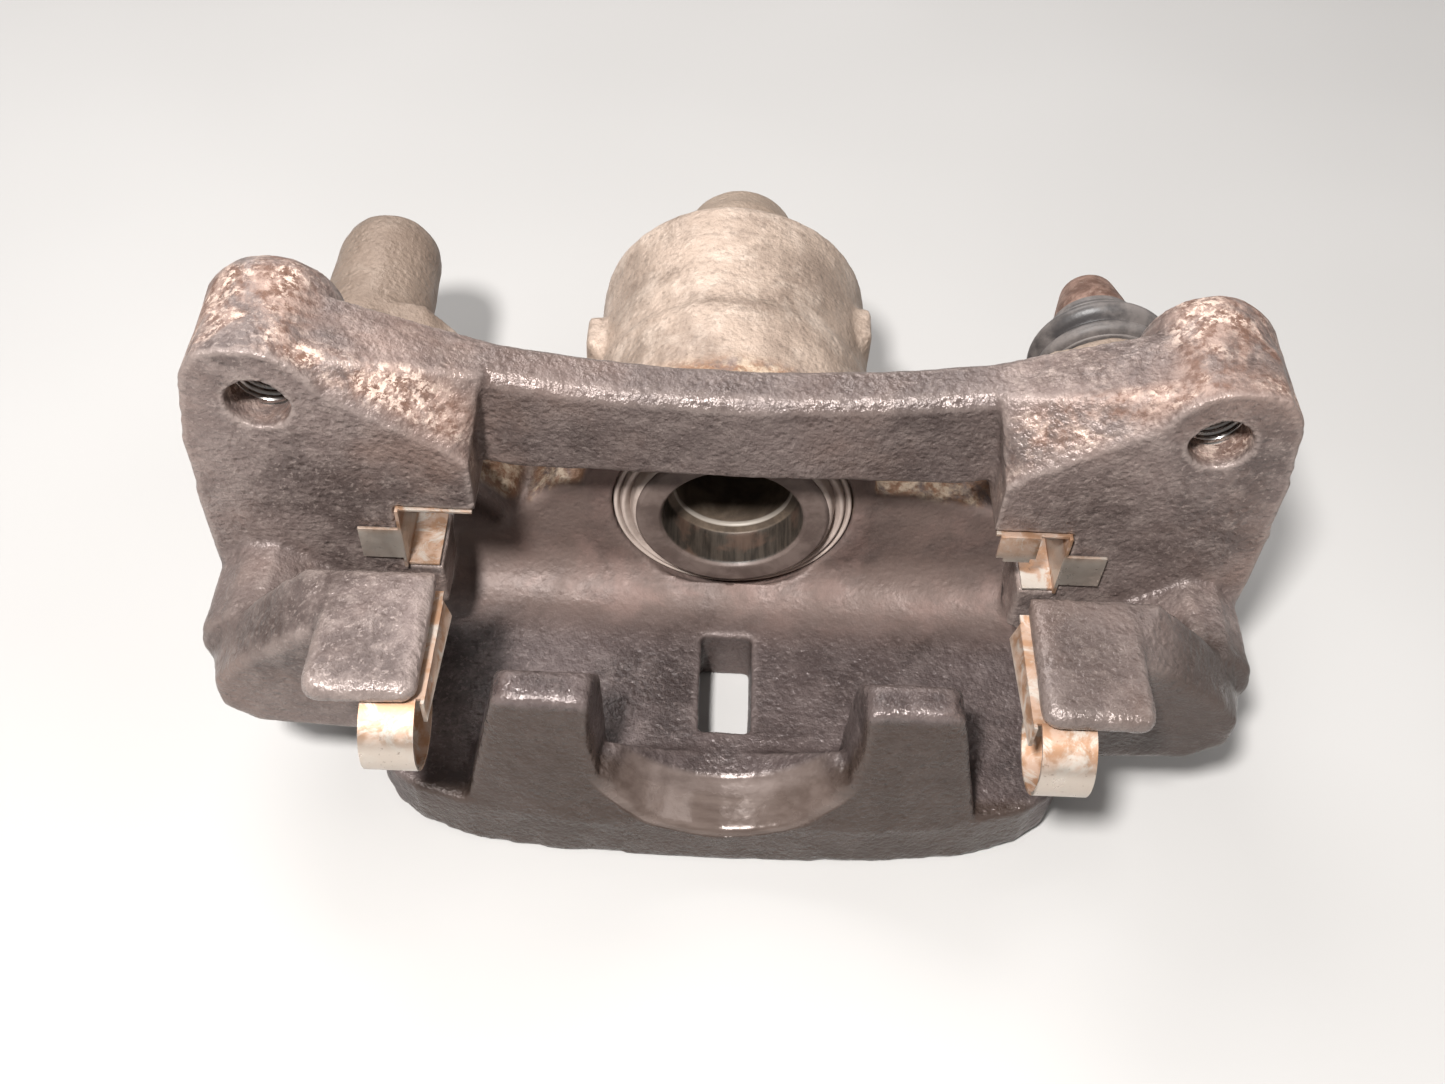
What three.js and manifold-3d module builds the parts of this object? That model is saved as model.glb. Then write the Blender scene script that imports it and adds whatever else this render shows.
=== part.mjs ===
// Single-piston sliding brake caliper with its mounting bracket, lying on the back of its bridge.
// Millimetres. +X right, +Y inboard (towards the cylinder's closed end), +Z towards the wheel centre.
// The working numbers use a caliper frame: x = 0 on the symmetry plane, y = 0 at the piston rim,
// z = 0 under the bridge. The last lines shift the whole group to the centre of its own box.
import * as THREE from 'three';
import { ConvexGeometry } from 'three/addons/geometries/ConvexGeometry.js';
import { mergeVertices } from 'three/addons/utils/BufferGeometryUtils.js';
import Module from 'manifold-3d';

const wasm = await Module();
wasm.setup();

// ---- driving dimensions ----
const GAP = 0.3;                  // left between pieces that touch
const SHEET = 0.6;                // clip steel
const ROUND_STEPS = 30;           // facets round a large turned piece
const SMALL_STEPS = 18;           // facets round a small one
const BORE_STEPS = 40;            // facets round the cylinder, its bore and the piston

const PISTON_R = 19.05;           // 38.1 mm piston
const PISTON_CUP_R = 13.75;       // mouth of its cup, down to a ledge
const PISTON_LEDGE = 9;
const PISTON_DEEP_R = 11.7;
const AXIS_Z = 37;                // piston axis above the bridge back
const PISTON_LENGTH = 48;
const CYLINDER_FACE = 3;          // the piston stands 3 mm proud of the cylinder
const LEG_FACE = 3.6;
const BORE_END = 57.5;
const BARREL_X = -0.9;            // the casting stands a little to one side of its bore
const BARREL_R = 28.7;
const FLANGE_R = 29.6;            // its front part, up to FLANGE_END
const FLANGE_END = 33;
const DOME_START = 60.5;
const DOME_END = 70.5;
const INLET_Z = 38.2;             // hose boss on the closed end
const INLET_R = 4.4;
const INLET_END = 91;

const BLEED_X = -18;              // bleeder screw, on the underside of the dome
const BLEED_Z = 15.5;

const BRIDGE_THICK = 14;
const BRIDGE_HALF = 66.5;
const FINGER_TOP = 45;
const FINGER_FACE = -38;          // the fingers' flat faces, towards the outboard pad

const PIN_X = 76;                 // guide pin and lock sleeve, each side
const PIN_Z = 46;
const PIN_BORE_R = 6.4;
const SLEEVE_R = 6.3;
const BUSH_WALL = 1.7;
const SLEEVE_EAR_FRONT = 20;      // the ear round the lock sleeve
const SLEEVE_EAR_BACK = 34.5;
const EAR_HOLE_X = 80;            // tapped mounting holes, 160 mm apart
const EAR_HOLE_Z = 82;
const EAR_HOLE_R = 5.4;           // tapping size of an M12 x 1.25 hole

const PLATE_FRONT = -17;          // bracket face on the inboard side of the rotor slot
const PLATE_BACK = -4;
const EAR_BACK = 8;
const BEAM_FRONT = -8;
const BEAM_BACK = 2;
const SLOT_OUTER = -33;           // bracket face on the outboard side of the rotor slot
const ARM_FRONT = -44.5;
const LIP_FRONT = -58;
const LIP_UNDER = 56;
const LIP_TOP = 60.3;
const NOTCH_FLOOR = 41;
const NOTCH_END = 61;
const CLIP_LOOP_R = 8.3;

// ---- solids ----
function signedVolume(points, triangles) {
  const a = new THREE.Vector3();
  const b = new THREE.Vector3();
  const c = new THREE.Vector3();
  let sum = 0;
  for (let i = 0; i < triangles.length; i += 3) {
    a.fromArray(points, 3 * triangles[i]);
    b.fromArray(points, 3 * triangles[i + 1]);
    c.fromArray(points, 3 * triangles[i + 2]);
    sum += a.dot(b.cross(c));
  }
  return sum / 6;
}

function toSolid(geometry) {
  const bare = geometry.clone();
  bare.deleteAttribute('normal');
  bare.deleteAttribute('uv');
  const merged = mergeVertices(bare, 1e-4);
  const points = Float32Array.from(merged.attributes.position.array);
  const index = merged.index.array;
  const triangles = [];
  for (let i = 0; i < index.length; i += 3) {
    const [a, b, c] = [index[i], index[i + 1], index[i + 2]];
    if (a !== b && b !== c && c !== a) triangles.push(a, b, c);
  }
  if (signedVolume(points, triangles) < 0) {
    for (let i = 0; i < triangles.length; i += 3) {
      [triangles[i], triangles[i + 1]] = [triangles[i + 1], triangles[i]];
    }
  }
  const triVerts = Uint32Array.from(triangles);
  return new wasm.Manifold(new wasm.Mesh({ numProp: 3, vertProperties: points, triVerts }));
}

function join(...solids) {
  return solids.reduce((whole, next) => whole.add(next));
}

function cut(solid, ...tools) {
  return tools.reduce((rest, tool) => rest.subtract(tool), solid);
}

// The outline's plane and the direction it is pushed in, for each axis:
// 'x' takes [y, z] pairs, 'y' takes [x, z] pairs, 'z' takes [x, y] pairs.
const X = new THREE.Vector3(1, 0, 0);
const Y = new THREE.Vector3(0, 1, 0);
const Z = new THREE.Vector3(0, 0, 1);
const BASES = {
  x: [Y, Z, X],
  y: [X, Z, Y.clone().negate()],
  z: [X, Y, Z],
};

function toShape(outline) {
  if (outline instanceof THREE.Shape) return outline;
  return new THREE.Shape(outline.map(([a, b]) => new THREE.Vector2(a, b)));
}

function prism(axis, outline, from, to, rounding = 0, curveSegments = 8) {
  const geometry = new THREE.ExtrudeGeometry(toShape(outline), {
    depth: to - from - 2 * rounding,
    bevelEnabled: rounding > 0,
    bevelThickness: rounding,
    bevelSize: rounding,
    bevelOffset: -rounding,
    bevelSegments: 1,
    curveSegments,
  });
  geometry.translate(0, 0, rounding);
  const place = new THREE.Matrix4().makeBasis(...BASES[axis]);
  place.setPosition(
    axis === 'x' ? from : 0,
    axis === 'y' ? to : 0,
    axis === 'z' ? from : 0,
  );
  return toSolid(geometry.applyMatrix4(place));
}

function hull(points) {
  return toSolid(new ConvexGeometry(points.map((p) => new THREE.Vector3(...p))));
}

// The block between two outlines of [x, z] pairs that stand at different y.
function taper(outlineA, yA, outlineB, yB) {
  return hull([
    ...outlineA.map(([x, z]) => [x, yA, z]),
    ...outlineB.map(([x, z]) => [x, yB, z]),
  ]);
}

// A turned piece on an axis along y: profile of [radius, y] pairs that starts and ends on the axis.
function turned(profile, x = 0, z = 0, steps = ROUND_STEPS) {
  const geometry = new THREE.LatheGeometry(profile.map(([r, y]) => new THREE.Vector2(r, y)), steps);
  return toSolid(geometry.translate(x, 0, z));
}

function turnedRing(profile, x = 0, z = 0, steps = ROUND_STEPS) {
  return turned([...profile, profile[0]], x, z, steps);
}

function rod(radius, from, to, x, z, steps = SMALL_STEPS) {
  return turned([[0, from], [radius, from], [radius, to], [0, to]], x, z, steps);
}

// A straight round bar between two points.
function tube(radius, from, to) {
  const [start, end] = [new THREE.Vector3(...from), new THREE.Vector3(...to)];
  const along = end.clone().sub(start);
  const geometry = new THREE.CylinderGeometry(radius, radius, along.length(), 12);
  geometry.applyQuaternion(new THREE.Quaternion().setFromUnitVectors(Y, along.clone().normalize()));
  const middle = start.add(end).multiplyScalar(0.5);
  return toSolid(geometry.translate(middle.x, middle.y, middle.z));
}

function hexBar(acrossFlats, from, to, x, z) {
  const radius = acrossFlats / Math.sqrt(3);
  return rod(radius, from, to, x, z, 6);
}

function block(x0, x1, y0, y1, z0, z1, rounding = 0) {
  const [left, right] = [Math.min(x0, x1), Math.max(x0, x1)];
  return prism('y', [[left, z0], [right, z0], [right, z1], [left, z1]], y0, y1, rounding);
}

function mirrorPairs(rightHalf) {
  const left = rightHalf.filter(([x]) => x !== 0).map(([x, other]) => [-x, other]);
  return [...rightHalf, ...left.reverse()];
}

// ---- materials ----
function material(color, roughness, metalness) {
  return new THREE.MeshStandardMaterial({ color, roughness, metalness });
}

const castIron = () => material(0x4f4644, 0.6, 0.55);
const cylinderIron = () => material(0x7d7164, 0.6, 0.5);
const clipSteel = () => material(0xb9ada0, 0.3, 0.95);
const pinSteel = () => material(0x8a8580, 0.35, 0.9);
const rubber = () => material(0x1d1c1d, 0.75, 0.0);

function sub(name, solid, look) {
  const result = solid.getMesh();
  const geometry = new THREE.BufferGeometry();
  geometry.setAttribute('position', new THREE.BufferAttribute(Float32Array.from(result.vertProperties), 3));
  geometry.setIndex(new THREE.BufferAttribute(Uint32Array.from(result.triVerts), 1));
  geometry.computeVertexNormals();
  const mesh = new THREE.Mesh(geometry, look);
  mesh.name = name;
  return mesh;
}

// ---- mounting bracket ----
function bracketHalf(side) {
  const flip = (pairs) => pairs.map(([x, z]) => [side * x, z]);

  // inboard plate, with the jaw that holds the pad ear
  const plate = prism('y', flip([
    [54, 30], [60, 25.5], [88, 25.5], [94, 30], [95.7, 38], [95.7, 51], [94.6, 73],
    [92, 87.5], [88.5, 92.5], [84, 94], [67.8, 82.8], [49.3, 71.8], [46.5, 69.5], [46.5, 57.4],
    [NOTCH_END, 57.4], [NOTCH_END, NOTCH_FLOOR], [54, NOTCH_FLOOR],
  ]), PLATE_FRONT, PLATE_BACK);

  // sloping gusset from the plate's top edge up to the beam
  const gusset = hull([
    [84, PLATE_FRONT, 94], [67.8, PLATE_FRONT, 82.8], [49.3, PLATE_FRONT, 71.8], [47, PLATE_FRONT, 66],
    [44, BEAM_FRONT, 82.2], [44, BEAM_BACK, 80.6], [69, BEAM_FRONT, 88.4], [69, BEAM_BACK, 87.2],
    [84, BEAM_BACK, 94], [84, PLATE_FRONT, 66], [84, BEAM_BACK, 66], [47, BEAM_BACK, 66],
  ].map(([x, y, z]) => [side * x, y, z]));

  const earBoss = turned([
    [0, PLATE_FRONT], [12, PLATE_FRONT], [12.4, EAR_BACK - 3], [11, EAR_BACK], [0, EAR_BACK],
  ], side * 81, EAR_HOLE_Z, ROUND_STEPS);
  const pinBoss = turned([
    [0, PLATE_BACK - 4], [12.8, PLATE_BACK - 4], [12.4, EAR_BACK - 2], [11, EAR_BACK], [0, EAR_BACK],
  ], side * PIN_X, PIN_Z, ROUND_STEPS);
  const web = taper(
    flip([[66, 36], [90, 36], [94, 80], [66, 84]]), PLATE_BACK - 1,
    flip([[70, 46], [84, 46], [88, 80], [72, 82]]), EAR_BACK - 2,
  );

  // arm that passes outside the rotor's edge
  const overRotor = prism('y', flip([
    [66, 27], [70, 25], [88, 25], [94, 29], [95.7, 36], [94.4, 41], [89, 45.5], [84, 46],
    [74, 38.5], [66, 33.5],
  ]), SLOT_OUTER - 1, PLATE_FRONT + 1);

  // outboard jaw and its lip over the pad ear
  const jaw = cut(
    taper(
      flip([[50.5, 59.8], [72.5, 59.8], [81, 52.5], [90, 43], [94.5, 34], [93, 28], [88, 25], [64, 25], [54, 31]]),
      SLOT_OUTER,
      flip([[51, 58.5], [68.5, 58.5], [78, 51.5], [86, 45.5], [90, 40], [90, 33], [84, 28], [66, 27], [54, 33]]),
      ARM_FRONT,
    ),
    block(side * 40, side * NOTCH_END, ARM_FRONT - 5, SLOT_OUTER + 5, NOTCH_FLOOR, LIP_UNDER),
    block(side * 40, side * 54, ARM_FRONT - 5, SLOT_OUTER + 5, 20, NOTCH_FLOOR + 1),
  );
  const lip = prism('z', roundedBox(side * 50.5, side * 69, LIP_FRONT, SLOT_OUTER, 3), LIP_UNDER, LIP_TOP, 1.2);

  return cut(
    join(plate, gusset, earBoss, pinBoss, web, overRotor, jaw, lip),
    rod(EAR_HOLE_R, PLATE_FRONT - 1, EAR_BACK + 1, side * EAR_HOLE_X, EAR_HOLE_Z),
    rod(5, PLATE_BACK - 8, EAR_BACK + 1, side * PIN_X, PIN_Z),
  );
}

function roundedBox(xA, xB, y0, y1, r) {
  const [x0, x1] = [Math.min(xA, xB), Math.max(xA, xB)];
  const shape = new THREE.Shape();
  shape.moveTo(x0 + r, y0);
  shape.lineTo(x1 - r, y0);
  shape.absarc(x1 - r, y0 + r, r, -Math.PI / 2, 0);
  shape.lineTo(x1, y1 - r);
  shape.absarc(x1 - r, y1 - r, r, 0, Math.PI / 2);
  shape.lineTo(x0 + r, y1);
  shape.absarc(x0 + r, y1 - r, r, Math.PI / 2, Math.PI);
  shape.lineTo(x0, y0 + r);
  shape.absarc(x0 + r, y0 + r, r, Math.PI, 1.5 * Math.PI);
  return shape;
}

function makeBracket() {
  // beam between the two plates: its top edge dips in one long arc
  const half = 70;
  const dip = 77.7;
  const radius = 232;
  const topArc = [];
  for (let i = 0; i <= 14; i += 1) {
    const x = half - (2 * half * i) / 14;
    topArc.push([x, dip + radius - Math.sqrt(radius * radius - x * x)]);
  }
  const beam = prism('y', [
    [-half, 62], [-46, 59.5], [-40, 58.2], [0, 57.4], [40, 58.2], [46, 59.5], [half, 62], ...topArc,
  ], BEAM_FRONT, BEAM_BACK, 1.8);
  return join(bracketHalf(-1), bracketHalf(1), beam);
}

// ---- caliper body ----
function makeCaliperBody() {
  const plan = mirrorPairs([
    [0, -54.2], [30, -53.3], [48, -51.3], [57, -48.6], [62.5, -45], [65.5, -40.5],
    [BRIDGE_HALF, -34], [BRIDGE_HALF, -10], [61, 1], [53, 12], [50, 20],
  ]);
  const section = [
    [-BRIDGE_HALF, 3.2], [-58, 1.2], [-45, 0], [45, 0], [58, 1.2], [BRIDGE_HALF, 3.2],
    [BRIDGE_HALF, BRIDGE_THICK], [-BRIDGE_HALF, BRIDGE_THICK],
  ];
  const bridge = prism('z', plan, -1, BRIDGE_THICK + 1).intersect(prism('y', section, -60, 40));

  // fingers that press on the outboard pad, and the half-round clearance between them
  const finger = (side) => hull([
    [24, -41.5, FINGER_TOP - 1.5], [26, -42.5, FINGER_TOP], [24.4, -48.5, FINGER_TOP - 1.5],
    [39, -42.5, FINGER_TOP], [41, -41.8, FINGER_TOP - 2], [41.4, -47.8, FINGER_TOP - 2.5],
    [39, -48, FINGER_TOP - 0.5], [26, -48.3, FINGER_TOP - 0.5],
    [22, FINGER_FACE, BRIDGE_THICK - 1], [47.5, FINGER_FACE, BRIDGE_THICK - 1],
    [41.5, FINGER_FACE, 38], [23, FINGER_FACE, 38], [22, -54, BRIDGE_THICK - 3],
    [48, -51.3, BRIDGE_THICK - 3], [40, -52.6, BRIDGE_THICK - 2],
  ].map(([x, y, z]) => [side * x, y, z]));
  const fingerRoot = hull([
    [-30, -38, BRIDGE_THICK - 1], [30, -38, BRIDGE_THICK - 1],
    [-30, -53.6, BRIDGE_THICK - 2], [30, -53.6, BRIDGE_THICK - 2],
    [-30, -44, 25], [30, -44, 25], [-30, -51.5, 24], [30, -51.5, 24],
  ]);
  const scoop = turned([
    [0, -60], [27, -60], [26.4, -55], [23.4, -44], [22.8, -34], [22.8, -25], [0, -25],
  ], 0, AXIS_Z);
  const window = block(-5.2, 5.2, -34, -11, -2, BRIDGE_THICK + 2);

  // inboard leg, blended into the bridge by a hollow fillet
  const leg = prism('y', [
    [-58, 4], [58, 4], [58, 14], [56.5, 25], [54.5, 34], [52, 38.6], [44, 40.8], [36, 42.3],
    [-30, 42.3], [-35, 41.4], [-40.2, 36.2], [-43.6, 32.3], [-47, 28], [-56.9, 27.4], [-58, 14],
  ], LEG_FACE, 20, 0.8);
  const filletR = 10;
  const filletHalf = 57;
  const fillet = new THREE.Shape();
  fillet.moveTo(LEG_FACE + 1, BRIDGE_THICK - 1);
  fillet.lineTo(LEG_FACE - filletR, BRIDGE_THICK - 1);
  fillet.lineTo(LEG_FACE - filletR, BRIDGE_THICK);
  fillet.absarc(LEG_FACE - filletR, BRIDGE_THICK + filletR, filletR, -Math.PI / 2, 0);
  fillet.lineTo(LEG_FACE + 1, BRIDGE_THICK + filletR);

  // cylinder with its closed dome and the hose boss
  const dome = [];
  const domeSteps = 7;
  for (let i = 0; i < domeSteps; i += 1) {
    const t = i / domeSteps;
    dome.push([BARREL_R * Math.sqrt(1 - t ** 1.6), DOME_START + (DOME_END - DOME_START) * t]);
  }
  const barrel = turned([
    [0, CYLINDER_FACE], [FLANGE_R - 1, CYLINDER_FACE], [FLANGE_R, CYLINDER_FACE + 1.5],
    [FLANGE_R, FLANGE_END - 2], [BARREL_R, FLANGE_END], ...dome, [0, DOME_END],
  ], BARREL_X, AXIS_Z, BORE_STEPS);
  const inletBoss = turned([
    [0, DOME_START], [14, DOME_START], [14, 80.5], [11.8, 87.5], [8.4, INLET_END], [0, INLET_END],
  ], 0, INLET_Z);
  const leftPad = block(-31.3, -20, 35, 46, AXIS_Z - 2, AXIS_Z + 12, 2);
  const rightPad = block(20, 27.6, 38, 50, AXIS_Z - 2, AXIS_Z + 14, 2);

  // ears that carry the guide pin bore and the lock sleeve
  const ear = (side, front, back) => hull([
    [44, 4.2, 10], [44, 30, 12], [44, 4.2, 38], [44, 32, 38], [38, 34, 30], [30, 24, 10],
    [60, front, 34], [66, back, 34], [60, front, 54], [64, back, 56], [76, front + 1, 35], [76, back, 34],
    [74, front + 1, 56.5], [74, back, 57.5],
  ].map(([x, y, z]) => [side * x, y, z]));
  const sleeveBoss = turned([
    [0, SLEEVE_EAR_FRONT], [13, SLEEVE_EAR_FRONT], [13.6, SLEEVE_EAR_FRONT + 2],
    [13.2, SLEEVE_EAR_BACK - 2], [12.4, SLEEVE_EAR_BACK], [0, SLEEVE_EAR_BACK],
  ], PIN_X, PIN_Z);
  const blindBoss = turned([
    [0, 22], [8.7, 22], [8.7, 26], [11.5, 26], [12, 28], [11.4, 44], [11, 62], [10, 66], [7, 68.6], [0, 69.6],
  ], -PIN_X, PIN_Z);
  const bleedBoss = turned([
    [0, 50], [6.5, 50], [6.5, 69.5], [5.8, 70.5], [0, 70.5],
  ], BLEED_X, BLEED_Z, SMALL_STEPS);

  // spot faces that make room for the boots in front of the ears
  const leftEar = cut(ear(-1, 27, 38), rod(12.5, 0, 26.4, -PIN_X, PIN_Z, ROUND_STEPS));
  const rightEar = cut(
    ear(1, 22, SLEEVE_EAR_BACK - 1.5),
    rod(14.5, 0, SLEEVE_EAR_FRONT + 0.4, PIN_X, PIN_Z, ROUND_STEPS),
  );

  // bore with its seal groove, boot recess and the way the piston comes out
  const bore = turned([
    [0, -15], [PISTON_R + 1.5, -15], [PISTON_R + 1.5, 0.8], [22, 0.8], [24, 2], [24, 8], [PISTON_R + GAP, 8],
    [PISTON_R + GAP, 11], [22.6, 11], [22.6, 15.2], [PISTON_R + GAP, 15.2], [PISTON_R + GAP, BORE_END],
    [14, BORE_END], [14, 61], [INLET_R, 63], [0, 63],
  ], 0, AXIS_Z, BORE_STEPS);
  const inlet = rod(INLET_R, 60, INLET_END + 2, 0, INLET_Z);
  const sleeveBore = rod(
    SLEEVE_R + BUSH_WALL + 2 * GAP, SLEEVE_EAR_FRONT - 5, SLEEVE_EAR_BACK + 5, PIN_X, PIN_Z,
  );
  const pinBore = rod(PIN_BORE_R, 18, 64, -PIN_X, PIN_Z);
  const bleedBore = rod(3.9, 54.5, 75, BLEED_X, BLEED_Z);
  const bleedPassage = tube(1.2, [BLEED_X, 56, BLEED_Z], [BLEED_X / 2, 56, (BLEED_Z + AXIS_Z) / 2]);

  return cut(
    join(bridge, finger(-1), finger(1), fingerRoot, leg, prism('x', fillet, -filletHalf, filletHalf, 0, 5), barrel,
      inletBoss, leftPad, rightPad, leftEar, rightEar, sleeveBoss, blindBoss, bleedBoss),
    scoop, window, bore, inlet, sleeveBore, pinBore, bleedBore, bleedPassage,
  );
}

// ---- hydraulic pieces ----
function makePiston() {
  const end = PISTON_LENGTH;
  return turned([
    [0, 38], [PISTON_DEEP_R, 38], [PISTON_DEEP_R, PISTON_LEDGE], [PISTON_CUP_R - 0.2, PISTON_LEDGE - 0.6],
    [PISTON_CUP_R, 0.8], [PISTON_CUP_R + 0.8, 0],
    [PISTON_R - 0.8, 0], [PISTON_R, 0.8], [PISTON_R, 1.6], [PISTON_R - 1.3, 1.6], [PISTON_R - 1.3, 3.8],
    [PISTON_R, 3.8], [PISTON_R, end - 1.5], [PISTON_R - 1.5, end], [0, end],
  ], 0, AXIS_Z, BORE_STEPS);
}

function makePistonSeal() {
  return turnedRing([
    [PISTON_R + GAP, 11 + GAP], [22.3, 11 + GAP], [22.3, 15.2 - GAP], [PISTON_R + GAP, 15.2 - GAP],
  ], 0, AXIS_Z);
}

function makeDustBoot() {
  return turnedRing([
    [19.35, 1.2], [19.9, 1.2], [20.7, 3.4], [21.7, 3.5], [22.1, 2.5], [23.3, 2.7], [23.6, 5], [23.7, 7.7],
    [20.6, 7.7], [20.6, 6.6], [22.4, 6.4], [22.4, 5], [19.8, 4.8], [19.35, 3.5],
  ], 0, AXIS_Z);
}

function makeBootRing() {
  const [ringR, ringY, wireR, sides] = [21.3, 5.7, 0.42, 8];
  const wire = [];
  for (let i = 0; i < sides; i += 1) {
    const angle = (2 * Math.PI * i) / sides;
    wire.push([ringR + wireR * Math.cos(angle), ringY + wireR * Math.sin(angle)]);
  }
  return turnedRing(wire, 0, AXIS_Z);
}

function makeBleederScrew() {
  return join(
    turned([
      [0, 64], [0.9, 64], [0.9, 85], [2.6, 85], [3, 84], [3, 82.6], [2.3, 81.8], [2.3, 79.6], [3, 78.8],
      [3, 71.6], [3.5, 71.4], [3.5, 61], [0.8, 58.4], [0, 58.4],
    ], BLEED_X, BLEED_Z, SMALL_STEPS),
    cut(hexBar(8, 71.2, 76.4, BLEED_X, BLEED_Z), rod(2, 70, 78, BLEED_X, BLEED_Z)),
  );
}

function makeBleederCap() {
  return turned([
    [0, 85.6], [3.4, 85.6], [3.4, 76.8], [4.5, 76.8], [4.7, 78], [4.2, 79], [4.2, 85.6], [3.2, 87.2], [0, 87.6],
  ], BLEED_X, BLEED_Z, SMALL_STEPS);
}

// ---- slide pieces ----
function makeGuidePin() {
  return join(
    turned([
      [0, -10.5], [3.8, -10.5], [4.7, -9.6], [4.7, 9.4], [5.6, 13], [5.6, 44], [4.4, 44.6], [4.4, 53.4],
      [5.6, 54], [5.6, 56.5], [4.6, 57.6], [0, 57.6],
    ], -PIN_X, PIN_Z, SMALL_STEPS),
    hexBar(15, 9.4 + GAP, 13.2, -PIN_X, PIN_Z),
  );
}

function makePinWasher() {
  return turnedRing([[5.1, 8.3], [8.6, 8.3], [8.6, 9.4], [5.1, 9.4]], -PIN_X, PIN_Z, SMALL_STEPS);
}

function makePinBush() {
  return turnedRing([
    [4.7, 44.9], [5.4, 44.9], [6.05, 46], [5.5, 47.5], [6.05, 49], [5.5, 50.5], [6.05, 52], [5.4, 53.1],
    [4.7, 53.1],
  ], -PIN_X, PIN_Z, SMALL_STEPS);
}

function makePinBoot() {
  return turnedRing([
    [5.9, 13.8], [8.6, 13.8], [9.7, 15], [8, 16.8], [10.1, 18.4], [8.6, 20.2], [10.8, 21.2], [10.8, 25.7],
    [9, 25.7], [9, 21.6], [7.1, 20.6], [8.7, 18.5], [6.7, 17], [8, 15.2], [5.9, 15],
  ], -PIN_X, PIN_Z, ROUND_STEPS);
}

function makeLockSleeve() {
  return turnedRing([
    [4.2, 8.3], [SLEEVE_R - 0.5, 8.3], [SLEEVE_R, 8.8], [SLEEVE_R, 51.3], [8.2, 51.3], [8.1, 53.5],
    [5.9, 61], [5, 62], [4.2, 62],
  ], PIN_X, PIN_Z, SMALL_STEPS);
}

function makeSleeveBush() {
  const [inner, outer] = [SLEEVE_R + GAP, SLEEVE_R + GAP + BUSH_WALL];
  const [front, back] = [SLEEVE_EAR_FRONT + 0.6, SLEEVE_EAR_BACK - 0.6];
  return turnedRing([[inner, front], [outer, front], [outer, back], [inner, back]], PIN_X, PIN_Z, SMALL_STEPS);
}

function makeInboardSleeveBoot() {
  return turnedRing([
    [8.8, 34.8], [12, 34.8], [14.2, 36], [14.4, 37.2], [12.6, 39.4], [14.8, 41.4], [14.8, 42.8], [12, 44.6],
    [11.8, 46.4], [10, 48], [9.4, 49], [9.4, 50.9], [SLEEVE_R + GAP, 50.9], [SLEEVE_R + GAP, 48.6],
    [9, 46.4], [9.6, 44], [11.4, 42], [10.6, 39.4], [11.4, 37.4], [8.8, 36.4],
  ], PIN_X, PIN_Z, ROUND_STEPS);
}

function makeOutboardSleeveBoot() {
  return turnedRing([
    [6.6, 9.6], [9, 9.6], [9.6, 11], [8.6, 12.6], [11.2, 14], [9.8, 15.6], [12.4, 16.8], [12.8, 19.7],
    [8.8, 19.7], [8.8, 18], [10.8, 17.4], [8.2, 15.6], [9.4, 14], [6.9, 12.8], [8, 11.2], [6.6, 11],
  ], PIN_X, PIN_Z, ROUND_STEPS);
}

// ---- pad clips ----
function makeInboardClip(side) {
  const front = PLATE_FRONT - GAP - SHEET;
  const back = PLATE_BACK - 1;
  const top = 57.4 - GAP;
  const end = NOTCH_END - GAP;
  const floor = NOTCH_FLOOR + GAP;
  const strip = join(
    block(side * 47, side * end, PLATE_FRONT - 0.2, back, top - SHEET, top),
    block(side * (end - SHEET), side * end, front, back, floor, top),
    block(side * 54.4, side * end, PLATE_FRONT - 0.2, back, floor, floor + SHEET),
    block(side * (end - SHEET), side * 68, front, front + SHEET, 44, 52),
  );
  if (side < 0) return strip;

  // only the right clip still has its front tab
  return join(
    strip,
    block(47.8, 55, front, front + SHEET, 51.2, top),
    block(49.2, 54, front, front + SHEET, 50.2, top),
    block(47.8, 55, front, PLATE_FRONT, top - SHEET, top),
  );
}

function makeOutboardClip(side) {
  const top = LIP_UNDER - GAP;
  const end = NOTCH_END - GAP;
  const floor = NOTCH_FLOOR + GAP;
  const centreY = -55;
  const centreZ = top - CLIP_LOOP_R;
  const inner = CLIP_LOOP_R - SHEET;
  const [first, last] = [0.42 * Math.PI, 1.86 * Math.PI];
  const loop = new THREE.Shape();
  loop.absarc(centreY, centreZ, CLIP_LOOP_R, first, last, false);
  loop.absarc(centreY, centreZ, inner, last, first, true);
  const strip = hull([
    [49.6, -57, 50.4], [50.2, -57, 50.4], [49.6, -57, top], [50.2, -57, top],
    [48.4, -36, 51.4], [49, -36, 51.4], [49.4, -36, top], [50, -36, top],
  ].map(([x, y, z]) => [side * x, y, z]));
  return join(
    block(side * 49.6, side * end, -56, SLOT_OUTER - 1, top - SHEET, top),
    block(side * (end - SHEET), side * end, ARM_FRONT, SLOT_OUTER - 1, floor, top),
    block(side * 54.4, side * end, ARM_FRONT, SLOT_OUTER - 1, floor, floor + SHEET),
    prism('x', loop, side > 0 ? 51 : -60, side > 0 ? 60 : -51, 0, 12),
    strip,
  );
}

// ---- assembly ----
const group = new THREE.Group();
group.name = 'brake_caliper';
const inner = new THREE.Group();
group.add(inner);

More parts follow.
